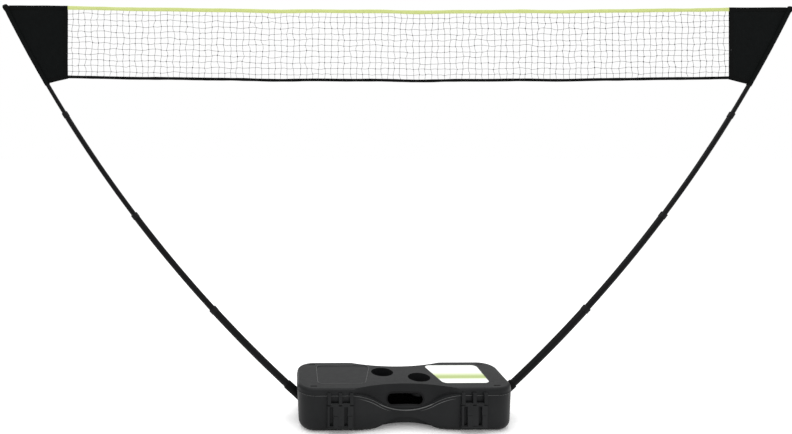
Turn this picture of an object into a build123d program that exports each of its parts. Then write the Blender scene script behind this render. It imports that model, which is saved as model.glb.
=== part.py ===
from build123d import *
from math import acos, cos, degrees, sin
import os

# A portable badminton net: a waisted plastic case that opens like a book of two
# shells, two bent telescopic poles that stand in its ends, and the net between them.
# Millimetres. X runs along the net, +Y is the hinge side of the case, +Z is up.
# The origin is the middle of the case on the floor.

# Case, seen from above: two round-cornered lobes joined by a waist
case_length = 788.0
lobe_depth = 270.0
waist_depth = 212.0
waist_half_length = 200.0
lobe_corner_radius = 68.0
case_height = 160.0
wall = 3.0

# Seam between the shells, seen from the front: level on the lobes, low at the waist
lobe_seam_z = 139.0
waist_seam_z = 74.0
seam_dip_half_length = 205.0
seam_gap = 0.4
bead_proud = 1.0
bead_height = 3.5
base_draft = 6.0
lid_draft = 2.5
base_bottom_radius = 30.0
lid_top_radius = 12.0

# Scoop on each side of the lid's waist, and the grip hole in the front one
scoop_ring_radius = 298.0
scoop_radius = 112.0
scoop_y = 195.0
scoop_z = 148.0
grip_width = 134.0
grip_height = 38.0
grip_z = 107.0

# Underside of the waist: a low arch right through, and a higher one under each edge
arch_half_length = 165.0
arch_rise = 18.0
edge_arch_rise = 46.0
edge_arch_y = 86.0

# Top of the lid
well_radius = 42.0
well_depth = 52.0
well_x = 66.0
well_y = 26.0
well_wall = 2.5
recess_depth = 1.5
recess_inner_x = 106.0
recess_outer_x = 318.0
recess_front_y = -82.0
recess_back_y = 96.0
recess_slant = 38.0
recess_radius = 22.0
vent_length = 26.0
vent_width = 6.0
vent_x = 334.0
vent_y = 104.0
label_gap = 0.8
label_thickness = 0.6

# Lid hinge, one set of knuckles behind each lobe
hinge_x = 250.0
hinge_y = lobe_depth / 2 + 6.5
hinge_width = 92.0
knuckle_radius = 5.2
hinge_pin_radius = 2.5
running_gap = 0.06
side_gap = 0.4

# Latches, one in front of each lobe, hanging from lugs on the lid's rim
latch_x = 240.0
latch_width = 92.0
latch_pin_y = -lobe_depth / 2 - 7.2
latch_pin_z = 110.0
latch_barrel_radius = 4.2
latch_pin_radius = 1.75
latch_top_drop = 6.0
latch_bottom_z = 26.0
latch_plate_front_y = -lobe_depth / 2 - 10.2
latch_plate_thickness = 3.2
latch_front_y = -lobe_depth / 2 - 11.7
latch_slot_width = 13.0
latch_slot_x = 26.0
latch_slot_top_z = 101.0
latch_slot_bottom_z = 33.0
latch_pad_width = 16.0
latch_pad_top_z = 68.0
latch_lip_height = 4.0
bed_width = 98.0
bed_bottom_z = 18.0
bed_top_z = 102.0
bed_front_y = -lobe_depth / 2 - 3.5
bed_root_y = -112.0
bed_groove_depth = 4.5
catch_width = 20.0
catch_height = 5.0
catch_z = 42.0
catch_gap = 0.6

# Poles: every section follows one large bend, whose centre is far beyond the other
# end of the case. Arc lengths are measured up the pole from where X is pole_zero_x,
# just outside the case's end wall.
bend_radius = 5012.0
bend_centre_x = 2990.0
bend_centre_z = 3788.0
pole_zero_x = 400.0
pole_zero_angle = acos((pole_zero_x + bend_centre_x) / bend_radius)
section_radii = (14.0, 11.75, 9.5, 7.5)
section_bores = (12.6, 10.4, 8.2, 6.1)
section_visible = 466.0
first_visible = 448.0
section_overlap = 32.0
tip_length = 464.0
socket_depth = 90.0
socket_floor = 3.0
boot_length = 44.0
boot_radius = 17.0
collar_length = 18.0
collar_thickness = 1.4
bush_length = 26.0
plug_length = 16.0
tip_cap_length = 12.0
tip_cap_radius = 9.0

# Net: two fabric panels on the poles' tips and a mesh between two tapes
panel_inner_x = 1265.0
panel_top_z = 1565.0
panel_bottom_z = 1289.0
panel_outer_top = (1500.0, 1566.0)
panel_outer_bottom = (1345.0, 1274.0)
panel_thickness = 3.0
sleeve_start = 1506.0
sleeve_end = 1832.0
sleeve_bore = 7.9
sleeve_radius = 9.3
top_tape_height = 14.0
top_tape_sag = 14.0
bottom_tape_height = 11.0
bottom_tape_sag = 12.0
tape_thickness = 3.0
mesh_thickness = 1.6

os.makedirs("parts", exist_ok=True)


def save(part, label):
    """Names a finished piece and writes it as one STEP file."""
    part.label = label
    export_step(part, f"parts/{label}.step")


def s_curve(start_x, end_x, low, high):
    """Draws a level-to-level S of two equal arcs, from (start_x, low) to (end_x, high)."""
    middle = ((start_x + end_x) / 2, (low + high) / 2)
    TangentArc((start_x, low), middle, tangent=(1, 0))
    TangentArc((end_x, high), middle, tangent=(-1, 0))


def plan_outline(inset=0.0):
    """The case seen from above, drawn inside its walls when inset is given."""
    end, side, radius = case_length / 2 - inset, inset - lobe_depth / 2, lobe_corner_radius - inset
    with BuildSketch() as plan:
        with BuildLine():
            s_curve(0, waist_half_length, inset - waist_depth / 2, side)
            Line((waist_half_length, side), (end - radius, side))
            TangentArc((end - radius, side), (end, side + radius), tangent=(1, 0))
            Line((end, side + radius), (end, 0))
            mirror(about=Plane.XZ)
            mirror(about=Plane.YZ)
        make_face()
    return plan.sketch


def front_region(rise_curve, far_z):
    """The region of the front view between a curve mirrored about X = 0 and far_z."""
    half_length, waist_z, lobe_z = rise_curve
    edge = case_length
    with BuildSketch(Plane.XZ) as region:
        with BuildLine():
            s_curve(0, half_length, waist_z, lobe_z)
            Line((half_length, lobe_z), (edge, lobe_z))
            Line((edge, lobe_z), (edge, far_z))
            Line((edge, far_z), (0, far_z))
            mirror(about=Plane.YZ)
        make_face()
    return region.sketch


def case_solid(inset):
    """The whole closed case inset by a wall's thickness: drafted sides, rounded edges."""
    with BuildPart() as body:
        for z, draft in ((inset, base_draft), (lobe_seam_z, 0), (case_height - inset, lid_draft)):
            with BuildSketch(Plane.XY.offset(z)):
                add(plan_outline(inset + draft))
        loft(ruled=True)
        fillet(body.faces().sort_by(Axis.Z)[0].edges(), radius=base_bottom_radius - inset)
        fillet(body.faces().sort_by(Axis.Z)[-1].edges(), radius=lid_top_radius - inset)
    return body.part


def underside(lift):
    """The hollows under the waist, lifted by a wall's thickness for the inside."""
    depth = lobe_depth
    with BuildPart() as hollows:
        low = front_region((arch_half_length, arch_rise + lift, lift), -wall)
        extrude(low, amount=depth, both=True)
        high = front_region((arch_half_length, edge_arch_rise + lift, lift), -wall)
        for side in (1, -1):
            start = edge_arch_y - lift
            extrude(Pos(0, side * start, 0) * high, amount=depth, dir=(0, side, 0))
    return hollows.part


def scoops(radius):
    """The two rings that hollow the lid's waist, one at the front and one behind."""
    with BuildPart() as rings:
        for side in (1, -1):
            with Locations((0, side * (scoop_y + scoop_ring_radius), scoop_z)):
                Torus(scoop_ring_radius, radius)
    return rings.part


def above_seam(shift):
    """Everything above the seam, shifted up or down from it."""
    seam = front_region((seam_dip_half_length, waist_seam_z + shift, lobe_seam_z + shift), 200)
    with BuildPart() as block:
        extrude(seam, amount=lobe_depth, both=True)
    return block.part


def recess_outline(side, inset=0.0):
    """The shallow panel on top of a lobe, slanted at its inner front corner."""
    inner, outer = side * (recess_inner_x + inset), side * (recess_outer_x - inset)
    front, back = recess_front_y + inset, recess_back_y - inset
    with BuildSketch() as panel:
        with BuildLine():
            Polyline(
                (inner, back), (inner + side * recess_slant, front), (outer, front), (outer, back),
                close=True,
            )
        make_face()
        fillet(panel.vertices(), radius=recess_radius - inset)
    return panel.sketch


def knuckles(spots, width, y, z, radius):
    """Round bars along X at the given middles: hinge barrels, pins or the holes for pins."""
    with BuildPart() as barrels:
        for x in spots:
            ring = Plane(origin=(x - width / 2, y, z), x_dir=(0, 1, 0), z_dir=(1, 0, 0))
            with BuildSketch(ring):
                Circle(radius)
            extrude(amount=width)
    return barrels.part


def block(x, y, z):
    """A box given by its low and high limits on each axis."""
    centre = ((x[0] + x[1]) / 2, (y[0] + y[1]) / 2, (z[0] + z[1]) / 2)
    return Pos(*centre) * Box(x[1] - x[0], y[1] - y[0], z[1] - z[0], mode=Mode.PRIVATE)


def pole_plane(side, arc):
    """The plane square to a pole, arc millimetres up it from pole_zero_x."""
    angle = pole_zero_angle - arc / bend_radius
    out = (side * cos(angle), 0, -sin(angle))
    origin = (
        side * (bend_radius * cos(angle) - bend_centre_x), 0, bend_centre_z - bend_radius * sin(angle)
    )
    return Plane(origin=origin, x_dir=out, z_dir=(side * sin(angle), 0, cos(angle)))


def bent_tube(side, start, end, outer, inner=0.0):
    """A length of tube or rod that follows the pole's bend."""
    centre = Axis((-side * bend_centre_x, 0, bend_centre_z), (0, -side, 0))
    with BuildPart() as tube:
        with BuildSketch(pole_plane(side, start)):
            Circle(outer)
            if inner:
                Circle(inner, mode=Mode.SUBTRACT)
        revolve(axis=centre, revolution_arc=degrees((end - start) / bend_radius))
    return tube.part


# Places worked out from the sizes above
wall_y = lobe_depth / 2
latch_spots = (-latch_x, latch_x)
hinge_spots = (-hinge_x, hinge_x)
hinge_z = lobe_seam_z
knuckle_width = (hinge_width - 4 * side_gap) / 5
knuckle_pitch = knuckle_width + side_gap
base_knuckles = [x + n * knuckle_pitch for x in hinge_spots for n in (-2, 0, 2)]
lid_knuckles = [x + n * knuckle_pitch for x in hinge_spots for n in (-1, 1)]
lug_width = 12.0
lug_pitch = (latch_width - lug_width) / 2
latch_knuckle_width = lug_pitch - lug_width - 2 * side_gap
latch_back_y = latch_plate_front_y + latch_plate_thickness
slot_offsets = (-latch_slot_x - latch_slot_width, latch_slot_x - latch_slot_width)
case_outer, case_inner = case_solid(0), case_solid(wall)
sides = {"left": -1, "right": 1}


def around(x, width):
    """The limits of a width centred on x."""
    return (x - width / 2, x + width / 2)


# Base shell: floor and walls up to the seam, raised bead, latch beds and hinge knuckles
bead_block = Plane.XY * extrude(plan_outline(-bead_proud), amount=case_height)
bead = bead_block & above_seam(-bead_height)
with BuildPart() as base_shell:
    add(case_outer)
    add(bead)
    add(above_seam(-seam_gap / 2), mode=Mode.SUBTRACT)
    add(underside(0), mode=Mode.SUBTRACT)
    for x in latch_spots:
        add(block(around(x, bed_width), (bed_front_y, bed_root_y), (bed_bottom_z, bed_top_z)))
        catch_front_y = latch_back_y + catch_gap
        catch_limits = (catch_front_y, bed_front_y)
        add(block(around(x, catch_width), catch_limits, (catch_z, catch_z + catch_height)))
    for x in base_knuckles:
        add(block(around(x, knuckle_width), (wall_y - 2, hinge_y), (hinge_z - 12, hinge_z - 0.5)))
    add(knuckles(base_knuckles, knuckle_width, hinge_y, hinge_z, knuckle_radius))
    add(case_inner - underside(wall), mode=Mode.SUBTRACT)
    for x in latch_spots:
        for offset_x in slot_offsets:
            groove = (x + offset_x, x + offset_x + latch_slot_width)
            depth = (bed_front_y - 1, bed_front_y + bed_groove_depth)
            add(block(groove, depth, (latch_slot_bottom_z, bed_top_z + 1)), mode=Mode.SUBTRACT)
    for x in hinge_spots:
        pin_hole = knuckles([x], hinge_width + 2, hinge_y, hinge_z, hinge_pin_radius)
        add(pin_hole, mode=Mode.SUBTRACT)
    for side in sides.values():
        add(bent_tube(side, -socket_depth, boot_length, boot_radius), mode=Mode.SUBTRACT)
save(base_shell.part, "base_shell")


# Lid shell: roof and waist walls, scoops, grip hole, two wells, recesses and vents. The
# scoops stop a wall's thickness above the seam, which leaves a ledge on the base's rim.
lid_outer = case_outer & above_seam(seam_gap / 2)
lid_inner = case_inner - scoops(scoop_radius + wall)
well_spots = ((-well_x, well_y), (well_x, -well_y))
well_floor_z = case_height - well_depth
with BuildPart() as lid_shell:
    add(lid_outer)
    add(scoops(scoop_radius) & above_seam(seam_gap / 2 + wall), mode=Mode.SUBTRACT)
    for x in lid_knuckles:
        add(block(around(x, knuckle_width), (wall_y - 2, hinge_y), (hinge_z + 0.5, hinge_z + 10)))
    lug_spots = [x + n * lug_pitch for x in latch_spots for n in (-1, 0, 1)]
    for x in lug_spots:
        lug = (latch_pin_y - latch_barrel_radius, -wall_y - bead_proud - side_gap)
        root = (latch_pin_y - latch_barrel_radius, 4 - wall_y)
        add(block(around(x, lug_width), lug, (latch_pin_z, hinge_z + side_gap)))
        add(block(around(x, lug_width), root, (hinge_z + side_gap, hinge_z + 9)))
    add(case_inner & above_seam(seam_gap / 2) & lid_inner, mode=Mode.SUBTRACT)
    add(knuckles(lid_knuckles, knuckle_width, hinge_y, hinge_z, knuckle_radius))
    add(knuckles(lug_spots, lug_width, latch_pin_y, latch_pin_z, latch_barrel_radius))
    for x in hinge_spots:
        bore = hinge_pin_radius + running_gap
        add(knuckles([x], hinge_width + 2, hinge_y, hinge_z, bore), mode=Mode.SUBTRACT)
    for x in latch_spots:
        pin_hole = knuckles([x], latch_width + 2, latch_pin_y, latch_pin_z, latch_pin_radius)
        add(pin_hole, mode=Mode.SUBTRACT)
    with BuildSketch(Plane.XY.offset(well_floor_z - well_wall)):
        with Locations(*well_spots):
            Circle(well_radius + well_wall)
    extrude(amount=well_depth + well_wall - wall / 2)
    with BuildSketch(Plane.XY.offset(well_floor_z)):
        with Locations(*well_spots):
            Circle(well_radius)
    extrude(amount=well_depth + 1, mode=Mode.SUBTRACT)
    with BuildSketch(Plane.XZ.offset(scoop_z)):
        with Locations((0, grip_z)):
            SlotOverall(grip_width, grip_height)
    extrude(amount=-(scoop_z - well_radius - well_y - well_wall - 2), mode=Mode.SUBTRACT)
    for side in sides.values():
        recess = Plane.XY.offset(case_height - recess_depth) * recess_outline(side)
        extrude(recess, amount=wall, mode=Mode.SUBTRACT)
    with BuildSketch(Plane.XY.offset(case_height - 2 * wall)):
        with Locations((-vent_x, vent_y), (vent_x, vent_y), (-vent_x, -vent_y), (vent_x, -vent_y)):
            SlotOverall(vent_length, vent_width)
    extrude(amount=3 * wall, mode=Mode.SUBTRACT)
save(lid_shell.part, "lid_shell")

# Label in the right recess, with rounded corners and no printing of its own
with BuildPart() as lid_label:
    label = recess_outline(1, label_gap)
    extrude(Plane.XY.offset(case_height - recess_depth) * label, amount=label_thickness)
save(lid_label.part, "lid_label")

# Hinge pins, pressed into the base's knuckles
with BuildPart() as hinge_pins:
    add(knuckles(hinge_spots, hinge_width, hinge_y, hinge_z, hinge_pin_radius))
save(hinge_pins.part, "lid_hinge_pins")

# Latches: a slotted plate on two knuckles, with a pad beside each slot and a lip below
for name, side in sides.items():
    x = side * latch_x
    with BuildPart() as latch:
        plate = (latch_plate_front_y, latch_back_y)
        plate_top_z = latch_pin_z - latch_top_drop
        add(block(around(x, latch_width), plate, (latch_bottom_z, plate_top_z)))
        for n in (-1, 1):
            knuckle_x = x + n * lug_pitch / 2
            neck = (plate_top_z - 1, latch_pin_z)
            add(block(around(knuckle_x, latch_knuckle_width), plate, neck))
            bar = knuckles(
                [knuckle_x], latch_knuckle_width, latch_pin_y, latch_pin_z, latch_barrel_radius
            )
            add(bar)
        for offset_x in slot_offsets:
            slot = (x + offset_x, x + offset_x + latch_slot_width)
            through = (latch_front_y, latch_back_y + 1)
            slot_z = (latch_slot_bottom_z, latch_slot_top_z)
            pad = (slot[1] + 1, slot[1] + 1 + latch_pad_width)
            proud = (latch_front_y, latch_plate_front_y)
            add(block(pad, proud, (latch_bottom_z, latch_pad_top_z)))
            add(block(slot, through, slot_z), mode=Mode.SUBTRACT)
        lip = (latch_bottom_z, latch_bottom_z + latch_lip_height)
        add(block(around(x, latch_width), (latch_front_y, latch_back_y), lip))
        bore = latch_pin_radius + running_gap
        pin_hole = knuckles([x], latch_width + 2, latch_pin_y, latch_pin_z, bore)
        add(pin_hole, mode=Mode.SUBTRACT)
    save(latch.part, f"latch_{name}")
    with BuildPart() as latch_pin:
        add(knuckles([x], latch_width, latch_pin_y, latch_pin_z, latch_pin_radius))
    save(latch_pin.part, f"latch_pin_{name}")

# Poles. Each section slides in the one below it: a collar closes the lower section's top
# and a bush rides inside it, both running fits, so the section is held at two places.
tops = [first_visible + n * section_visible for n in range(3)]
tip_arc = tops[-1] + tip_length
starts = [-socket_depth] + [top - section_overlap for top in tops]
ends = tops + [tip_arc]

for name, side in sides.items():
    for number in range(4):
        start, end, radius = starts[number], ends[number], section_radii[number]
        with BuildPart() as section:
            add(bent_tube(side, start, end, radius, section_bores[number]))
        save(section.part, f"pole_section_{number + 1}_{name}")
        if number < 3:
            collar_bore = section_radii[number + 1] + running_gap
            with BuildPart() as collar:
                add(bent_tube(side, end - collar_length, end, radius + collar_thickness, radius))
                add(bent_tube(side, end, end + 2, radius + collar_thickness, collar_bore))
            save(collar.part, f"pole_collar_{number + 1}_{name}")
        if number > 0:
            bush_radius = section_bores[number - 1] - running_gap
            with BuildPart() as bush:
                add(bent_tube(side, start, start + bush_length, bush_radius, radius))
            save(bush.part, f"pole_bush_{number + 1}_{name}")

    # Socket in the case's end wall, closed at its foot and standing out as a boot
    with BuildPart() as socket:
        add(bent_tube(side, -socket_depth, boot_length, boot_radius, section_radii[0]))
        add(bent_tube(side, -socket_depth - socket_floor, -socket_depth, boot_radius))
    save(socket.part, f"pole_socket_{name}")

    # Plug in the foot of the lowest section, and a cap over the tip of the highest one
    with BuildPart() as plug:
        add(bent_tube(side, -socket_depth, plug_length - socket_depth, section_bores[0]))
    save(plug.part, f"pole_plug_{name}")
    with BuildPart() as cap:
        add(bent_tube(side, tip_arc - tip_cap_length, tip_arc, tip_cap_radius, section_radii[3]))
        add(bent_tube(side, tip_arc, tip_arc + 3, tip_cap_radius))
    save(cap.part, f"pole_tip_cap_{name}")

    # Fabric: a sleeve on the pole's tip, and the panel sewn to it
    with BuildPart() as sleeve:
        add(bent_tube(side, sleeve_start, sleeve_end, sleeve_radius, sleeve_bore))
    save(sleeve.part, f"sleeve_{name}")
    with BuildPart() as panel:
        with BuildSketch(Plane.XZ.offset(-panel_thickness / 2)):
            with BuildLine():
                Polyline(
                    (side * panel_inner_x, panel_bottom_z),
                    (side * panel_inner_x, panel_top_z),
                    (side * panel_outer_top[0], panel_outer_top[1]),
                    (side * panel_outer_bottom[0], panel_outer_bottom[1]),
                    close=True,
                )
            make_face()
        extrude(amount=panel_thickness)
        add(bent_tube(side, sleeve_start - 90, tip_arc + 90, sleeve_radius), mode=Mode.SUBTRACT)
    inner_piece = panel.part.solids().sort_by(Axis.X)[0 if side > 0 else -1]
    save(Part([inner_piece]), f"net_panel_{name}")


def net_band(low_ends, low_sag, high_ends, high_sag, thickness):
    """A flat strip between the panels whose two long edges sag like hung tapes."""
    edge = panel_inner_x
    with BuildPart() as strip:
        with BuildSketch(Plane.XZ.offset(-thickness / 2)):
            with BuildLine():
                ThreePointArc((-edge, low_ends), (0, low_ends - low_sag), (edge, low_ends))
                Line((edge, low_ends), (edge, high_ends))
                ThreePointArc((edge, high_ends), (0, high_ends - high_sag), (-edge, high_ends))
                Line((-edge, high_ends), (-edge, low_ends))
            make_face()
        extrude(amount=thickness)
    return strip.part


# Mesh, with a tape sewn along its top and its bottom
mesh_low_z = panel_bottom_z + bottom_tape_height
mesh_high_z = panel_top_z - top_tape_height
bands = {
    "net_mesh": (mesh_low_z, bottom_tape_sag, mesh_high_z, top_tape_sag, mesh_thickness),
    "top_tape": (mesh_high_z, top_tape_sag, panel_top_z, top_tape_sag, tape_thickness),
    "bottom_tape": (panel_bottom_z, bottom_tape_sag, mesh_low_z, bottom_tape_sag, tape_thickness),
}
for name, shape in bands.items():
    with BuildPart() as band:
        add(net_band(*shape))
    save(band.part, name)
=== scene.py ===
import math

import bmesh
import bpy
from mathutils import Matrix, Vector, noise


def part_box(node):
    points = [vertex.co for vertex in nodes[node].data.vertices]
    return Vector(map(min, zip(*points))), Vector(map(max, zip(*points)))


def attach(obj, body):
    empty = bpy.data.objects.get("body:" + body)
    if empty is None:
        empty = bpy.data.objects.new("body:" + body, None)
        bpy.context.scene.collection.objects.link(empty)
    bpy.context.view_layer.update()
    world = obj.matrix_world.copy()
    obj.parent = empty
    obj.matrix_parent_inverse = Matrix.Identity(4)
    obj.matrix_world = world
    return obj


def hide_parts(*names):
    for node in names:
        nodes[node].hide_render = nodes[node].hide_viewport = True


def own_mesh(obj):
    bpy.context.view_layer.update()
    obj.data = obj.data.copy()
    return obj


# A portable badminton net on its carrying case. The hard parts are the frame's own
# nodes with better materials; the mesh, tapes, panels and sleeves are built here.
# Metres, in the frame's axes: X along the net, +Y the case's hinge side, +Z up.

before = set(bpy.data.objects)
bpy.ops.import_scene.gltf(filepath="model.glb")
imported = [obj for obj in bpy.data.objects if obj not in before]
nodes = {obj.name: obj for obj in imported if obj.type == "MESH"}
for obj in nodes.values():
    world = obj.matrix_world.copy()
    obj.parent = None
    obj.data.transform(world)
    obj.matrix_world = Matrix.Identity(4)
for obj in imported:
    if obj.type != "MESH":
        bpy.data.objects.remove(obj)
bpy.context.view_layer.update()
SIDES = {"left": -1, "right": 1}

# The poles' one large bend, in the plane Y = 0, and what sits on their tips
BEND_RADIUS = 5.012
BEND_X = 2.990
BEND_Z = 3.788
WALL_X = 0.400
SLEEVE_START = 1.506
SLEEVE_END = 1.843
CAP_START = 1.832
CAP_RADIUS = 0.0090
SLEEVE_RADIUS = 0.0088
POLE_TIP_RADIUS = 0.0079

# Net between the panels: how far it hangs, and how its cords are knotted
MESH_PITCH = 0.0240
MESH_ROWS = 12
CORD_RADIUS = 0.00065
CORD_BOW = 0.004
KNOT_RADIUS = 0.0017
KNOT_SHIFT_X = 0.0075
KNOT_SHIFT_Z = 0.0062
KNOT_PROFILE = ((-0.8, 0.6), (0.0, 1.0), (0.8, 0.6))
NET_SAG = 0.012
NET_SWAY = 0.0022
EDGE_WAVES = ((0.0012, 11.0, 0.7), (0.0008, 23.0, 0.0))
HIDDEN_END = 0.006


# ---------------------------------------------------------------- mesh helpers
def new_object(name, points, faces, smooth=True):
    """A mesh object from lists of points and faces, welded, its normals turned outwards."""
    mesh = bpy.data.meshes.new(name)
    mesh.from_pydata([tuple(p) for p in points], [], faces)
    mesh.validate()
    form = bmesh.new()
    form.from_mesh(mesh)
    bmesh.ops.remove_doubles(form, verts=form.verts, dist=1e-6)
    bmesh.ops.recalc_face_normals(form, faces=form.faces)
    form.to_mesh(mesh)
    form.free()
    if smooth:
        mesh.polygons.foreach_set("use_smooth", [True] * len(mesh.polygons))
    piece = bpy.data.objects.new(name, mesh)
    bpy.context.scene.collection.objects.link(piece)
    return piece


def sweep(points, faces, rings, closed_ends=True):
    """Joins rings of equal length into a tube and adds it to points and faces."""
    first, count = len(points), len(rings[0])
    for ring in rings:
        points.extend(ring)
    for r in range(len(rings) - 1):
        low, high = first + r * count, first + (r + 1) * count
        for k in range(count):
            n = (k + 1) % count
            faces.append((low + k, low + n, high + n, high + k))
    if closed_ends:
        faces.append(tuple(first + k for k in reversed(range(count))))
        last = first + (len(rings) - 1) * count
        faces.append(tuple(last + k for k in range(count)))


def across(path, k):
    """Unit vector square to a path in the XZ plane, at its point number k."""
    ahead = path[min(k + 1, len(path) - 1)] - path[max(k - 1, 0)]
    return Vector((-ahead.z, 0, ahead.x)).normalized()


def cord_rings(path, radius, sides=5):
    """Rings of a thin round cord along a path that lies close to the XZ plane."""
    rings = []
    for k, p in enumerate(path):
        side = across(path, k)
        ring = []
        for n in range(sides):
            a = 2 * math.pi * n / sides
            ring.append(p + side * radius * math.cos(a) + Vector((0, radius * math.sin(a), 0)))
        rings.append(ring)
    return rings


def band_profile(width, thickness, steps=4):
    """Closed section of a folded tape: (across, y) points with two round edges."""
    radius, half = thickness / 2, width / 2 - thickness / 2
    section = []
    for centre, start in ((half, -math.pi / 2), (-half, math.pi / 2)):
        for n in range(steps + 1):
            a = start + math.pi * n / steps
            section.append((centre + radius * math.cos(a), radius * math.sin(a)))
    return section


def band(points, faces, path, width, thickness, wobble=0.0):
    """Adds a folded tape that follows a path, with a slight uneven bulge."""
    section = band_profile(width, thickness)
    rings = []
    for k, p in enumerate(path):
        side = across(path, k)
        swell = 1 + wobble * noise.noise(p * 21.0)
        spread = 0.5 + 0.5 * swell
        rings.append([p + side * u * spread + Vector((0, v * swell, 0)) for u, v in section])
    sweep(points, faces, rings)


def stitches(points, faces, path, y, pitch=0.0042, length=0.0028, radius=0.00032, bulge=0.0002):
    """Adds a row of short thread stitches along a path, at a distance y off its plane."""
    run = 0.0
    for a, b in zip(path, path[1:]):
        step = (b - a).length
        if step < 1e-6:
            continue
        way = (b - a) / step
        while run < step:
            start = a + way * run + Vector((0, y, 0))
            middle = start + way * length / 2 + Vector((0, math.copysign(bulge, y), 0))
            sweep(points, faces, cord_rings([start, middle, start + way * length], radius, 4))
            run += pitch
        run -= step


def pole_point(side, arc, inward=0.0):
    """Point on a pole's centreline, arc metres up from the end wall, moved inwards."""
    angle = math.acos((WALL_X + BEND_X) / BEND_RADIUS) - arc / BEND_RADIUS
    radius = BEND_RADIUS - inward
    x = radius * math.cos(angle) - BEND_X
    return Vector((side * x, 0, BEND_Z - radius * math.sin(angle)))


# ------------------------------------------------------------------- materials
WAVE_BAND = 0.318  # about the length of one band of a wave texture at scale 1


class Surface:
    """A procedural material being built: its node tree, its shader and short calls."""

    def __init__(self, name, colour, roughness, **sockets):
        self.material = bpy.data.materials.new(name)
        self.material.use_nodes = True
        self.tree = self.material.node_tree
        self.shader = self.tree.nodes["Principled BSDF"]
        self.shader.inputs["Base Color"].default_value = (*colour, 1)
        self.shader.inputs["Roughness"].default_value = roughness
        for socket, value in sockets.items():
            self.shader.inputs[socket.replace("_", " ")].default_value = value
        self.place = self.node("ShaderNodeTexCoord").outputs["Object"]

    def node(self, kind, **settings):
        made = self.tree.nodes.new(kind)
        for key, value in settings.items():
            setattr(made, key, value)
        return made

    def link(self, output, target):
        self.tree.links.new(output, target)

    def scaled(self, scale):
        """The place on the object, stretched by a scale on each axis."""
        mapping = self.node("ShaderNodeMapping")
        mapping.inputs["Scale"].default_value = scale
        self.link(self.place, mapping.inputs["Vector"])
        return mapping.outputs["Vector"]

    def noise(self, scale, detail=3.0, stretch=(1, 1, 1)):
        made = self.node("ShaderNodeTexNoise")
        made.inputs["Scale"].default_value = scale
        made.inputs["Detail"].default_value = detail
        self.link(self.scaled(stretch), made.inputs["Vector"])
        return made.outputs["Fac"]

    def wave(self, direction, scale, distortion=0.0):
        made = self.node("ShaderNodeTexWave", bands_direction=direction)
        made.inputs["Scale"].default_value = scale
        made.inputs["Distortion"].default_value = distortion
        self.link(self.place, made.inputs["Vector"])
        return made.outputs["Fac"]

    def math(self, operation, a, b):
        made = self.node("ShaderNodeMath", operation=operation)
        for value, socket in ((a, made.inputs[0]), (b, made.inputs[1])):
            if isinstance(value, (int, float)):
                socket.default_value = value
            else:
                self.link(value, socket)
        return made.outputs[0]

    def ramp(self, factor, stops):
        made = self.node("ShaderNodeValToRGB")
        elements = made.color_ramp.elements
        while len(elements) < len(stops):
            elements.new(0.5)
        for element, (position, colour) in zip(elements, stops):
            element.position = position
            element.color = (*colour, 1)
        self.link(factor, made.inputs["Fac"])
        return made.outputs["Color"]

    def span(self, factor, low, high):
        """Maps a 0 to 1 factor to low to high."""
        made = self.node("ShaderNodeMapRange")
        made.inputs["To Min"].default_value = low
        made.inputs["To Max"].default_value = high
        self.link(factor, made.inputs["Value"])
        return made.outputs["Result"]

    def painted_underside_shade(self, colour, darkest=-0.75, full=-0.25, share=0.15):
        """Painted shade: fades the colour to a share of itself on faces that look downwards."""
        split = self.node("ShaderNodeSeparateXYZ")
        coordinates = self.node("ShaderNodeTexCoord")
        self.link(coordinates.outputs["Normal"], split.inputs[0])
        shade_factor = self.node("ShaderNodeMapRange")
        shade_factor.inputs["From Min"].default_value = darkest
        shade_factor.inputs["From Max"].default_value = full
        shade_factor.inputs["To Min"].default_value = share
        self.link(split.outputs["Z"], shade_factor.inputs["Value"])
        mix = self.node("ShaderNodeVectorMath", operation="SCALE")
        self.link(colour, mix.inputs[0])
        self.link(shade_factor.outputs["Result"], mix.inputs["Scale"])
        return mix.outputs["Vector"]

    def colour_from(self, output):
        self.link(output, self.shader.inputs["Base Color"])

    def roughness_from(self, output):
        self.link(output, self.shader.inputs["Roughness"])

    def bump(self, height, strength, distance):
        made = self.node("ShaderNodeBump")
        made.inputs["Strength"].default_value = strength
        made.inputs["Distance"].default_value = distance
        self.link(height, made.inputs["Height"])
        self.link(made.outputs["Normal"], self.shader.inputs["Normal"])


def moulded_plastic(name, dark, light, roughness, gloss=0.1, below=False):
    """Charcoal plastic with a fine spark-eroded grain and faint scuffs; with below set, painted
    shade darkens faces that look downwards.
    """
    s = Surface(name, dark, roughness, Specular_IOR_Level=gloss)
    tone = s.ramp(s.noise(scale=9.0, detail=4.0), [(0.35, dark), (0.7, light)])
    s.colour_from(s.painted_underside_shade(tone) if below else tone)
    scuffs = s.noise(scale=60.0, detail=5.0, stretch=(1.0, 6.0, 1.0))
    s.roughness_from(s.span(scuffs, roughness - 0.08, roughness + 0.12))
    grain, ripple = s.noise(scale=1500.0, detail=2.0), s.noise(scale=30.0)
    s.bump(s.math("ADD", grain, s.math("MULTIPLY", ripple, 0.6)), strength=0.22, distance=0.0004)
    return s.material


def gloss_paint(name, colour, roughness):
    """Black gloss tube: faint orange peel and fine lengthwise wipe marks."""
    s = Surface(name, colour, roughness, Specular_IOR_Level=0.09)
    light = tuple(c * 1.9 for c in colour)
    s.colour_from(s.ramp(s.noise(scale=14.0), [(0.3, colour), (0.8, light)]))
    marks = s.noise(scale=220.0, detail=4.0, stretch=(1, 3, 1))
    s.roughness_from(s.span(marks, roughness - 0.05, roughness + 0.1))
    s.bump(s.noise(scale=420.0, detail=2.0), strength=0.08, distance=0.0002)
    return s.material


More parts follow.
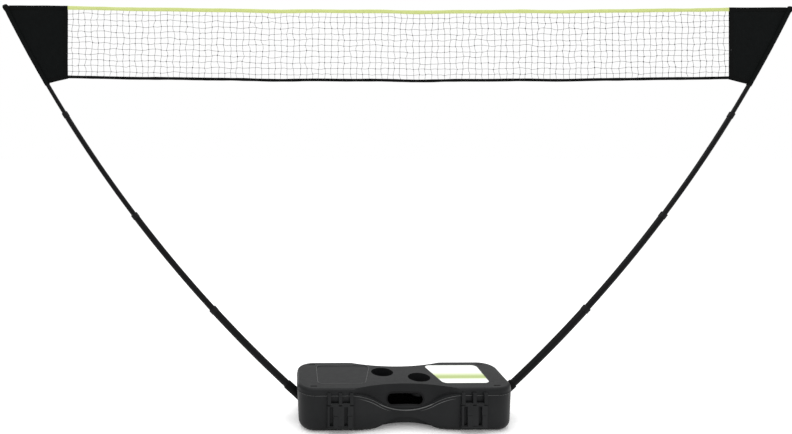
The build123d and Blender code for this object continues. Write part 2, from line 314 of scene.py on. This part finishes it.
def woven(name, dark, light, thread, roughness, sheen=0.0):
    """Plain weave: two crossing sets of threads, uneven in colour and height."""
    s = Surface(
        name, dark, roughness, Sheen_Weight=sheen, Sheen_Roughness=0.5, Specular_IOR_Level=0.03
    )
    scale = WAVE_BAND / thread
    weave = s.math("MULTIPLY", s.wave("X", scale, 0.6), s.wave("Z", scale, 0.6))
    blotch = s.noise(scale=55.0, detail=5.0)
    tone = s.math("MULTIPLY", s.math("ADD", weave, blotch), 0.5)
    s.colour_from(s.ramp(tone, [(0.2, dark), (0.75, light)]))
    s.roughness_from(s.span(blotch, roughness - 0.08, roughness + 0.08))
    fuzz = s.math("MULTIPLY", s.noise(scale=700.0), 0.5)
    s.bump(s.math("ADD", weave, fuzz), strength=0.5, distance=thread * 0.35)
    return s.material


def twisted_cord(name, dark, light):
    """Twisted net twine: slanting strands and a dusty, uneven dye."""
    s = Surface(name, dark, 0.75, Sheen_Weight=0.15)
    s.colour_from(s.ramp(s.noise(scale=35.0, detail=4.0), [(0.3, dark), (0.75, light)]))
    s.roughness_from(s.span(s.noise(scale=300.0), 0.65, 0.85))
    s.bump(s.wave("DIAGONAL", scale=420.0, distortion=1.0), strength=0.4, distance=0.0003)
    return s.material


def label_film(name, box):
    """White film with a soft lime band across its lower half, and nothing printed."""
    low, high = box
    s = Surface(name, (0.9, 0.92, 0.88), 0.3, Coat_Weight=0.3)
    split = s.node("ShaderNodeSeparateXYZ")
    s.link(s.place, split.inputs[0])
    across_label = s.node("ShaderNodeMapRange")
    across_label.inputs["From Min"].default_value = low[1]
    across_label.inputs["From Max"].default_value = high[1]
    s.link(split.outputs["Y"], across_label.inputs["Value"])
    white, lime, pale = (0.82, 0.84, 0.80), (0.34, 0.43, 0.12), (0.52, 0.60, 0.32)
    stops = [(0.0, white), (0.20, white), (0.28, lime), (0.38, lime), (0.46, pale), (0.60, white)]
    s.colour_from(s.ramp(across_label.outputs["Result"], stops))
    s.roughness_from(s.span(s.noise(scale=90.0, detail=4.0), 0.25, 0.4))
    s.bump(s.noise(scale=600.0), strength=0.05, distance=0.0001)
    return s.material


def plain_steel(name):
    """Drawn steel pin with fine lengthwise lines."""
    s = Surface(name, (0.42, 0.42, 0.43), 0.35, Metallic=1.0)
    lines = s.noise(scale=800.0, detail=3.0, stretch=(0.05, 1, 1))
    s.roughness_from(s.span(lines, 0.28, 0.45))
    s.bump(lines, strength=0.1, distance=0.0001)
    return s.material


# The case plastic has painted shade on its downward faces (below=True).
CASE = moulded_plastic(
    "case_plastic", (0.0085, 0.009, 0.0095), (0.012, 0.0125, 0.013), 0.42, below=True
)
# A paler, glossier copy of the case plastic: painted highlight on the seam bead, waist ribs and
# recess edges.
PAINTED_HIGHLIGHT = moulded_plastic("painted_highlight_plastic", (0.045, 0.046, 0.046), (0.085, 0.086, 0.086), 0.32, 0.4)
LATCH = moulded_plastic("latch_plastic", (0.010, 0.0105, 0.011), (0.015, 0.0155, 0.016), 0.38)
BOOT = moulded_plastic("boot_rubber", (0.003, 0.003, 0.003), (0.005, 0.005, 0.005), 0.55, 0.06)
# Near-black collar plastic for the pole collars, also used as painted shade on the grip hole's
# rim.
COLLAR_AND_GRIP_SHADE = moulded_plastic("collar_plastic", (0.004, 0.004, 0.0045), (0.007, 0.007, 0.0075), 0.40)
BUSH = moulded_plastic("bush_plastic", (0.50, 0.50, 0.47), (0.58, 0.58, 0.55), 0.45)
POLE = gloss_paint("pole_black", (0.0024, 0.0024, 0.0027), 0.32)
PIN = plain_steel("pin_steel")
FABRIC = woven(
    "black_fabric", (0.0030, 0.0036, 0.0036), (0.0062, 0.0070, 0.0070), 0.0011, 0.82, sheen=0.01
)
BLACK_TAPE = woven(
    "black_tape", (0.0028, 0.0030, 0.0030), (0.0060, 0.0064, 0.0064), 0.0009, 0.8, sheen=0.01
)
LIME_TAPE = woven("lime_tape", (0.47, 0.53, 0.19), (0.58, 0.64, 0.28), 0.0009, 0.65, sheen=0.05)
NET = twisted_cord("net_cord", (0.020, 0.020, 0.023), (0.045, 0.045, 0.050))
LABEL = label_film("label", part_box("lid_label"))


def paint(node, material):
    """Gives a node's object a new material."""
    node.data.materials.clear()
    node.data.materials.append(material)


for name, node in nodes.items():
    if name.startswith(("base_", "lid_shell")):
        paint(node, CASE)
    elif name.startswith(("latch_pin", "lid_hinge")):
        paint(node, PIN)
    elif name.startswith("latch_"):
        paint(node, LATCH)
    elif name.startswith("pole_socket"):
        paint(node, BOOT)
    elif name.startswith("pole_section"):
        paint(node, POLE)
    elif name.startswith("pole_bush"):
        paint(node, BUSH)
    elif name.startswith("pole_"):
        paint(node, COLLAR_AND_GRIP_SHADE)
paint(nodes["lid_label"], LABEL)


# ---------------------------------------------------------- moulded details of the case
# Outline and seam of the case, and the bead and ribs below the seam
END_INSET = 0.001
CASE_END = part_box("base_shell")[1][0] - END_INSET
LOBE_Y = 0.135
WAIST_Y = 0.106
WAIST_END = 0.200
CORNER = 0.068
SEAM_LOBE = 0.139
SEAM_WAIST = 0.074
SEAM_DIP_END = 0.205
BEAD_RADIUS = 0.0021
BEAD_OUT = 0.0004
BEAD_FADE_END = 0.19
BEAD_WAIST_SHARE = 0.43
RIB_START = 0.052
RIB_END = 0.176
RIB_DROP = 0.012
RIB_SINK = 0.0004
RIB_WIDTH = 0.0012
RIB_TIP_WIDTH = 0.0001
RIB_FLATNESS = 1.2
RIB_STEPS = 30

# Grip hole in the lid's front scoop
SCOOP_RING = 0.298
SCOOP_RADIUS = 0.112
SCOOP_Y = 0.195
SCOOP_Z = 0.148
GRIP_HALF = 0.048
GRIP_END = 0.019
GRIP_Z = 0.107
RIM_RADIUS = 0.0050
RIM_DEPTH = 0.0036
RIM_OUT = 0.0020

# Shallow recess on top of each lobe, with a slanted inner side
RECESS_INNER = 0.106
RECESS_OUTER = 0.318
RECESS_FRONT = -0.082
RECESS_BACK = 0.096
RECESS_SLANT = 0.038
RECESS_CORNER = 0.022
RECESS_EDGE = 0.0007


def s_curve(x, end, low, high):
    """Height at x of the two equal arcs that lead from (0, low) to (end, high)."""
    x = min(abs(x), end)
    half, rise = end / 2, (high - low) / 2
    radius = (half * half + rise * rise) / (2 * abs(rise))
    near = x if x < half else end - x
    lift = math.copysign(radius - math.sqrt(radius * radius - near * near), rise)
    return low + lift if x < half else high - lift


def case_edge(x, side, drop, out):
    """Point on the case's front or back wall at x, a drop below the seam."""
    y = s_curve(x, WAIST_END, WAIST_Y, LOBE_Y) + out
    return Vector((x, side * y, s_curve(x, SEAM_DIP_END, SEAM_WAIST, SEAM_LOBE) - drop))


def case_loop(drop, out, steps=72, corner_steps=10):
    """The closed path round the whole case, counter-clockwise, a drop below the seam."""
    flat, radius, path = CASE_END - CORNER, CORNER + out, []
    for side in (-1, 1):
        way = -side
        for k in range(steps + 1):
            path.append(case_edge(way * flat * (2 * k / steps - 1), side, drop, out))
        for corner_side in (side, -side):
            centre = Vector((way * flat, corner_side * (LOBE_Y - CORNER), SEAM_LOBE - drop))
            for k in range(1, corner_steps):
                a = math.pi / 2 * k / corner_steps
                first, second = math.sin(a), math.cos(a)
                if corner_side != side:
                    first, second = second, first
                path.append(centre + radius * Vector((way * first, corner_side * second, 0)))
    return path


def bead_rings(path, widths, sides=8):
    """Rings of a half-buried bead on an upright wall, along a counter-clockwise path."""
    rings = []
    for k, (p, width) in enumerate(zip(path, widths)):
        ahead = path[(k + 1) % len(path)] - path[k - 1]
        out = Vector((ahead.y, -ahead.x, 0)).normalized()
        ring = []
        for n in range(sides):
            a = 2 * math.pi * n / sides
            ring.append(p + out * width * math.cos(a) + Vector((0, 0, width * math.sin(a))))
        rings.append(ring)
    return rings


def make_seam_bead():
    """The rounded lip of the base just under the seam, all round the case, pale with a painted
    highlight.
    """
    path = case_loop(BEAD_RADIUS, BEAD_OUT)
    widths = [BEAD_RADIUS * s_curve(p.x, BEAD_FADE_END, 1.0, BEAD_WAIST_SHARE) for p in path]
    rings = bead_rings(path, widths)
    points, faces = [], []
    sweep(points, faces, rings + rings[:1], closed_ends=False)
    bead = new_object("seam_bead", points, faces)
    bead.data.materials.append(PAINTED_HIGHLIGHT)
    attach(bead, "base")


def rib_rings(path, widths, side, sides=8):
    """Rings of a rib on the front or back wall, each as wide as its own width."""
    rings = []
    for p, width in zip(path, widths):
        ring = []
        for n in range(sides):
            a = 2 * math.pi * n / sides
            lift = RIB_FLATNESS * width * math.sin(a)
            ring.append(p + Vector((0, side * width * math.cos(a), lift)))
        rings.append(ring)
    return rings


def make_waist_ribs():
    """Four faint ribs that run below the seam's slopes and fade out at both ends, pale with a
    painted highlight.
    """
    points, faces = [], []
    for side in (-1, 1):
        for way in (-1, 1):
            path, widths = [], []
            for k in range(RIB_STEPS + 1):
                share = k / RIB_STEPS
                x = way * (RIB_START + (RIB_END - RIB_START) * share)
                path.append(case_edge(x, side, RIB_DROP, -RIB_SINK))
                widths.append(RIB_WIDTH * math.sin(math.pi * share) + RIB_TIP_WIDTH)
            if way * side > 0:
                path.reverse()
            sweep(points, faces, rib_rings(path, widths, side))
    ribs = new_object("waist_ribs", points, faces)
    ribs.data.materials.append(PAINTED_HIGHLIGHT)
    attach(ribs, "base")


def scoop_y(x, z):
    """Y of the front scoop's surface, which is part of a large ring lying level."""
    ring = SCOOP_RING + math.sqrt(SCOOP_RADIUS ** 2 - (z - SCOOP_Z) ** 2)
    return math.sqrt(ring * ring - x * x) - SCOOP_Y - SCOOP_RING


def make_grip_rim(steps=14, sides=10):
    """The rounded edge of the grip hole, which follows the hollow of the front scoop; its
    near-black colour is painted shade round the hole.
    """
    outline = []
    for way in (1, -1):
        for k in range(steps + 1):
            a = way * math.pi / 2 - way * math.pi * k / steps
            x = way * GRIP_HALF + way * GRIP_END * math.cos(a)
            outline.append((x, GRIP_END * math.sin(a), a, way))
        for k in range(1, steps):
            x = way * GRIP_HALF * (1 - 2 * k / steps)
            outline.append((x, -way * GRIP_END, -way * math.pi / 2, 0))
    rings = []
    for x, lift, a, way in outline:
        z = GRIP_Z + lift
        centre = Vector((x, scoop_y(x, z) + RIM_DEPTH, z))
        away = Vector((way * math.cos(a), 0, math.sin(a)))
        ring = []
        for n in range(sides):
            b = 2 * math.pi * n / sides
            around = away * (RIM_OUT + RIM_RADIUS * math.cos(b))
            ring.append(centre + around + Vector((0, RIM_RADIUS * math.sin(b), 0)))
        rings.append(ring)
    points, faces = [], []
    sweep(points, faces, rings + rings[:1], closed_ends=False)
    rim = new_object("grip_rim", points, faces)
    # The rim's near-black colour is painted shade that widens the dark of the hole.
    rim.data.materials.append(COLLAR_AND_GRIP_SHADE)
    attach(rim, "lid")


def rounded_outline(corners, radius, steps=8):
    """A closed outline with its corners rounded, as points and outward directions."""
    outline = []
    for k, corner in enumerate(corners):
        back = (corners[k - 1] - corner).normalized()
        ahead = (corners[(k + 1) % len(corners)] - corner).normalized()
        half = back.angle(ahead) / 2
        middle = (back + ahead).normalized()
        centre = corner + middle * radius / math.sin(half)
        first = (corner + back * radius / math.tan(half) - centre).normalized()
        last = (corner + ahead * radius / math.tan(half) - centre).normalized()
        for n in range(steps + 1):
            way = first.slerp(last, n / steps)
            outline.append((centre + radius * way, way))
    return outline


def make_recess_edges(sides=8):
    """The softened edge round the recess on each lobe, pale with a painted highlight."""
    points, faces = [], []
    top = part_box("lid_shell")[1][2]
    for side in SIDES.values():
        corners = [
            Vector((side * RECESS_INNER, RECESS_BACK, top)),
            Vector((side * (RECESS_INNER + RECESS_SLANT), RECESS_FRONT, top)),
            Vector((side * RECESS_OUTER, RECESS_FRONT, top)),
            Vector((side * RECESS_OUTER, RECESS_BACK, top)),
        ]
        rings = []
        for p, way in rounded_outline(corners, RECESS_CORNER):
            ring = []
            for n in range(sides):
                a = 2 * math.pi * n / sides
                lift = Vector((0, 0, math.sin(a) - 0.5))
                ring.append(p + RECESS_EDGE * (way * math.cos(a) + lift))
            rings.append(ring)
        sweep(points, faces, rings + rings[:1], closed_ends=False)
    edges = new_object("recess_edges", points, faces)
    edges.data.materials.append(PAINTED_HIGHLIGHT)
    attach(edges, "lid")


make_seam_bead()
make_waist_ribs()
make_grip_rim()
make_recess_edges()


# ------------------------------------------------------------------ net and tapes
panel_low, panel_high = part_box("net_panel_right")
PANEL_INNER = panel_low[0]
top_low, top_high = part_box("top_tape")
bottom_low, bottom_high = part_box("bottom_tape")
TOP_HEIGHT = 0.014
TOP_DROP = 0.0015
BOTTOM_HEIGHT = 0.011
TAPE_THICKNESS = 0.0026
NET_END = PANEL_INNER + HIDDEN_END


def hang(x, depth=NET_SAG):
    """How far a tape hangs below its ends, with the small waves of a slack edge."""
    share = 1 - (x / PANEL_INNER) ** 2
    wave = sum(size * math.sin(x * rate + start) for size, rate, start in EDGE_WAVES)
    return depth * share + wave * max(share, 0.0)


def sway(x, z):
    """How far the net stands forward or back at a place; it doesn't at its two ends."""
    free = max(0.0, 1 - (x / PANEL_INNER) ** 8)
    return NET_SWAY * free * noise.noise(Vector((x * 2.3, 4.0, z * 3.0)))


def tape_z(x, ends_z):
    """Height of a tape's middle line at x."""
    return ends_z - hang(x)


def tape_path(ends_z, step=0.012):
    """A tape's middle line, from one hidden end to the other."""
    count = round(2 * NET_END / step)
    path = []
    for k in range(count + 1):
        x = -NET_END + 2 * NET_END * k / count
        path.append(Vector((x, sway(x, ends_z), tape_z(x, ends_z))))
    return path


def make_tape(name, ends_z, height, material, stitch_z):
    """A folded tape with a row of stitches on each face, riding with the net."""
    points, faces = [], []
    path = tape_path(ends_z)
    band(points, faces, path, height, TAPE_THICKNESS, wobble=0.25)
    stitch_path = [p + Vector((0, 0, stitch_z)) for p in path]
    for y in (-TAPE_THICKNESS / 2, TAPE_THICKNESS / 2):
        stitches(points, faces, stitch_path, y)
    tape = new_object(name, points, faces)
    tape.data.materials.append(material)
    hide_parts(name.replace("_piece", ""))
    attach(tape, "net")
    return tape


top_ends = top_high[2] - TOP_HEIGHT / 2 - TOP_DROP
bottom_ends = bottom_high[2] - BOTTOM_HEIGHT / 2
top_tape = make_tape("top_tape_piece", top_ends, TOP_HEIGHT, LIME_TAPE, stitch_z=-0.0045)
bottom_tape = make_tape(
    "bottom_tape_piece", bottom_ends, BOTTOM_HEIGHT, BLACK_TAPE, stitch_z=0.0035
)


def knot_place(column, row, columns):
    """Where two cords cross, a little off the even grid as in a real net."""
    x = -NET_END + 2 * NET_END * column / columns
    low, high = tape_z(x, bottom_ends), tape_z(x, top_ends)
    z = low + (high - low) * row / MESH_ROWS
    inside = 0 < row < MESH_ROWS
    shift = Vector((x * 9.0, z * 37.0, 1.7))
    dx = KNOT_SHIFT_X * noise.noise(shift * 3.1) if 0 < column < columns else 0.0
    dz = KNOT_SHIFT_Z * noise.noise(shift * 2.3 + Vector((5, 5, 5))) if inside else 0.0
    return Vector((x + dx, sway(x, z), z + dz))


def cord_through(knots, slack):
    """A cord that passes through its knots and bows a little between them."""
    path = []
    for a, b in zip(knots, knots[1:]):
        path.append(a)
        bow = Vector((slack[0], 0, slack[1])) * noise.noise((a + b) * 29.0)
        path.append((a + b) / 2 + bow)
    path.append(knots[-1])
    return path


def knot(points, faces, centre, radius, sides=6):
    """Adds a small uneven knot around a crossing."""
    rings = []
    for level, share in KNOT_PROFILE:
        ring = []
        for n in range(sides):
            a = 2 * math.pi * n / sides
            spread = radius * share * (1.15 if n % 3 else 0.9)
            spot = Vector((spread * math.cos(a), level * radius, spread * math.sin(a)))
            ring.append(centre + spot)
        rings.append(ring)
    sweep(points, faces, rings)


def make_net():
    """The knotted mesh: upright and level cords, and a knot at each crossing."""
    columns = round(2 * NET_END / MESH_PITCH)
    grid = [[knot_place(c, r, columns) for r in range(MESH_ROWS + 1)] for c in range(columns + 1)]
    points, faces = [], []
    for c in range(columns + 1):
        sweep(points, faces, cord_rings(cord_through(grid[c], (CORD_BOW, 0.0)), CORD_RADIUS))
    for r in range(1, MESH_ROWS):
        level = [grid[c][r] for c in range(columns + 1)]
        sweep(points, faces, cord_rings(cord_through(level, (0.0, CORD_BOW)), CORD_RADIUS))
        for centre in level:
            knot(points, faces, centre, KNOT_RADIUS * (1 + 0.8 * noise.noise(centre * 41.0)))
    net = new_object("net_mesh_cords", points, faces)
    net.data.materials.append(NET)
    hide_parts("net_mesh")
    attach(net, "net")
    return net


net = make_net()


# ------------------------------------------------------------- panels and sleeves
PANEL_BOTTOM_Z = 1.289
PANEL_TOP_Z = panel_high[2] - 0.003
PANEL_LOW_ARC = SLEEVE_START + 0.003
PANEL_HIGH_ARC = SLEEVE_END - 0.001
PANEL_CURVE = 0.93
CREASE_DEPTH = 0.0016
SOFT_RELIEF = 0.0022
BINDING = 0.018
BINDING_THICKNESS = 0.0038
BINDING_MIDDLE = 0.42
BINDING_STITCHES = 0.78
BINDING_STITCH_Y = 0.0020
FABRIC_HALF = 0.0012
HEM_SWELL = 0.0004
LINING_GAP = 0.0001
CAP_COVER_SWELL = 0.0014
PUCKER = 0.0004


def panel_place(side, s, t):
    """Point of a panel: s runs from the net to the pole, t from bottom to top."""
    inner = Vector((side * PANEL_INNER, 0, PANEL_BOTTOM_Z + (PANEL_TOP_Z - PANEL_BOTTOM_Z) * t))
    arc = PANEL_LOW_ARC + (PANEL_HIGH_ARC - PANEL_LOW_ARC) * t ** PANEL_CURVE
    outer = pole_point(side, arc, SLEEVE_RADIUS * 0.8)
    return inner.lerp(outer, s)


def panel_relief(side, s, t):
    """Creases that fan out from the pole, fading towards the bound edges."""
    p = panel_place(side, s, t)
    fan = CREASE_DEPTH * math.sin(t * 17.0 + s * 2.6) * s * (1 - s) * 3
    soft = SOFT_RELIEF * noise.noise(Vector((p.x * 9.0, 2.0 + side, p.z * 9.0)))
    edge = min(1.0, 6 * min(s + 0.02, t + 0.02, 1.02 - t))
    return (fan + soft) * edge


def make_panel(name, side, steps_s=26, steps_t=40):
    """Two layers of black fabric sewn edge to edge; the bound edges and stitching come from
    make_bindings.
    """
    points, faces = [], []
    for face_side in (-1, 1):
        for i in range(steps_s + 1):
            for j in range(steps_t + 1):
                s, t = i / steps_s, j / steps_t
                edge = min(1.0, 8 * min(t, 1 - t, s + 0.06))
                y = panel_relief(side, s, t) + face_side * FABRIC_HALF * (0.5 + 0.5 * edge)
                points.append(panel_place(side, s, t) + Vector((0, y, 0)))
    rows = steps_t + 1
    layer = (steps_s + 1) * rows
    for i in range(steps_s):
        for j in range(steps_t):
            a, b = i * rows + j, (i + 1) * rows + j
            front = (a, b, b + 1, a + 1)
            faces.append(front)
            faces.append(tuple(layer + k for k in reversed(front)))
    border = [i * rows for i in range(steps_s + 1)]
    border += [steps_s * rows + j for j in range(1, rows)]
    border += [i * rows + steps_t for i in range(steps_s - 1, -1, -1)]
    border += [j for j in range(steps_t - 1, 0, -1)]
    for a, b in zip(border, border[1:] + border[:1]):
        faces.append((a, a + layer, b + layer, b))
    panel = new_object(f"net_panel_{name}_cloth", points, faces)
    panel.data.materials.append(FABRIC)
    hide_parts(f"net_panel_{name}")
    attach(panel, f"pole_tip_{name}")
    return panel


def panel_edge(side, edge, inset, count=24):
    """Points along one bound edge of a panel, moved in by an inset."""
    path = []
    for k in range(count + 1):
        u = k / count
        if edge == "bottom":
            p, away, s, t = panel_place(side, u, 0), Vector((0, 0, 1)), u, 0.02
        elif edge == "top":
            p, away, s, t = panel_place(side, u * 0.96, 1), Vector((0, 0, -1)), u, 0.98
        else:
            p, away, s, t = panel_place(side, 0, u), Vector((side, 0, 0)), 0.02, u
        path.append(p + away * inset + Vector((0, panel_relief(side, s, t) * 0.5, 0)))
    return path


def make_bindings(name, side):
    """Folded bindings round the panel's bottom, top and inner edges, with stitches."""
    points, faces = [], []
    for edge in ("bottom", "top", "inner"):
        middle = panel_edge(side, edge, BINDING * BINDING_MIDDLE)
        band(points, faces, middle, BINDING, BINDING_THICKNESS, wobble=0.15)
        row = panel_edge(side, edge, BINDING * BINDING_STITCHES)
        for y in (-BINDING_STITCH_Y, BINDING_STITCH_Y):
            stitches(points, faces, row, y)
    binding = new_object(f"panel_binding_{name}", points, faces)
    binding.data.materials.append(BLACK_TAPE)
    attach(binding, f"pole_tip_{name}")
    return binding


def make_sleeve(name, side, rings=90, sides=20):
    """The sewn tube of fabric that the pole's tip stands in, hemmed at both ends."""
    outer, inner = [], []
    for k in range(rings + 1):
        u = k / rings
        arc = SLEEVE_START + (SLEEVE_END - SLEEVE_START) * u
        centre = pole_point(side, arc)
        out = (pole_point(side, arc, -0.01) - centre).normalized()
        hem = HEM_SWELL if u < 0.04 or u > 0.965 else 0.0
        ring, lining = [], []
        cover = min(1.0, max(0.0, (arc - CAP_START + 0.006) / 0.005))
        cap_step = CAP_RADIUS + LINING_GAP - POLE_TIP_RADIUS
        lining_radius = POLE_TIP_RADIUS + LINING_GAP + cover * cap_step
        cloth_radius = SLEEVE_RADIUS + hem + CAP_COVER_SWELL * cover
        for n in range(sides):
            a = 2 * math.pi * n / sides
            way = out * math.cos(a) + Vector((0, math.sin(a), 0))
            pucker = PUCKER * noise.noise(Vector((arc * 70.0, a * 1.3, side * 3.0)))
            ring.append(centre + way * (cloth_radius + pucker))
            lining.append(centre + way * lining_radius)
        outer.append(ring)
        inner.append(lining)
    points, faces = [], []
    sweep(points, faces, outer + inner[::-1] + outer[:1], closed_ends=False)
    sleeve = new_object(f"sleeve_{name}_cloth", points, faces)
    sleeve.data.materials.append(FABRIC)
    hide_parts(f"sleeve_{name}")
    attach(sleeve, f"pole_tip_{name}")
    return sleeve


for name, side in SIDES.items():
    make_panel(name, side)
    make_bindings(name, side)
    make_sleeve(name, side)


# ------------------------------------------------- the net's pieces get meshes of their own
for piece in (net, top_tape, bottom_tape):
    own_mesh(piece)


# --------------------------------------------------------------- floor, light, camera
FLOOR_HALF = 60
FLOOR_GLOW = 0.12
CAMERA_PLACE = (-0.405, -2.196, 1.017)
CAMERA_TURN = -0.59
CAMERA_LENS = 26.2
CAMERA_SHIFT = (0.121, -0.0846)
CAMERA_REACH = 200.0


def make_floor():
    """A wide pale floor that reaches past the camera's view on every side."""
    corners = ((-1, -1), (1, -1), (1, 1), (-1, 1))
    points = [(FLOOR_HALF * x, FLOOR_HALF * y, 0) for x, y in corners]
    floor = new_object("floor", points, [(0, 1, 2, 3)], smooth=False)
    pale, dim, bright = ((level,) * 3 for level in (0.95, 0.94, 0.96))
    s = Surface("floor_pale", pale, 0.8, Specular_IOR_Level=0.0, Emission_Strength=FLOOR_GLOW)
    s.shader.inputs["Emission Color"].default_value = (1, 1, 1, 1)
    s.colour_from(s.ramp(s.noise(scale=0.8), [(0.3, dim), (0.7, bright)]))
    floor.data.materials.append(s.material)


def area_light(name, place, target, size, power):
    """A soft rectangular lamp at a place, turned to a target."""
    light = bpy.data.lights.new(name, "AREA")
    light.shape = "RECTANGLE"
    light.size, light.size_y = size
    light.energy = power
    lamp = bpy.data.objects.new(name, light)
    lamp.location = place
    lamp.rotation_euler = (Vector(target) - Vector(place)).to_track_quat("-Z", "Y").to_euler()
    bpy.context.scene.collection.objects.link(lamp)


def make_camera():
    """A level camera in front of the net, a little left of its middle."""
    camera = bpy.data.cameras.new("camera")
    camera.lens = CAMERA_LENS
    camera.shift_x, camera.shift_y = CAMERA_SHIFT
    camera.clip_end = CAMERA_REACH
    eye = bpy.data.objects.new("camera", camera)
    eye.location = CAMERA_PLACE
    eye.rotation_euler = (math.radians(90), 0, math.radians(CAMERA_TURN))
    bpy.context.scene.collection.objects.link(eye)
    bpy.context.scene.camera = eye


make_floor()
area_light("key", (-2.2, -2.6, 3.4), (0, 0, 0.6), (2.4, 2.4), power=22)
area_light("fill", (2.8, -2.2, 2.2), (0, 0, 0.7), (2.5, 2.5), power=10)
area_light("top", (0.0, 0.4, 4.0), (0, 0, 0), (3.5, 2.5), power=75)
world = bpy.data.worlds.new("studio")
world.use_nodes = True
world.node_tree.nodes["Background"].inputs["Color"].default_value = (1, 1, 1, 1)
world.node_tree.nodes["Background"].inputs["Strength"].default_value = 1.0
bpy.context.scene.world = world
bpy.context.scene.view_settings.view_transform = "Standard"
make_camera()
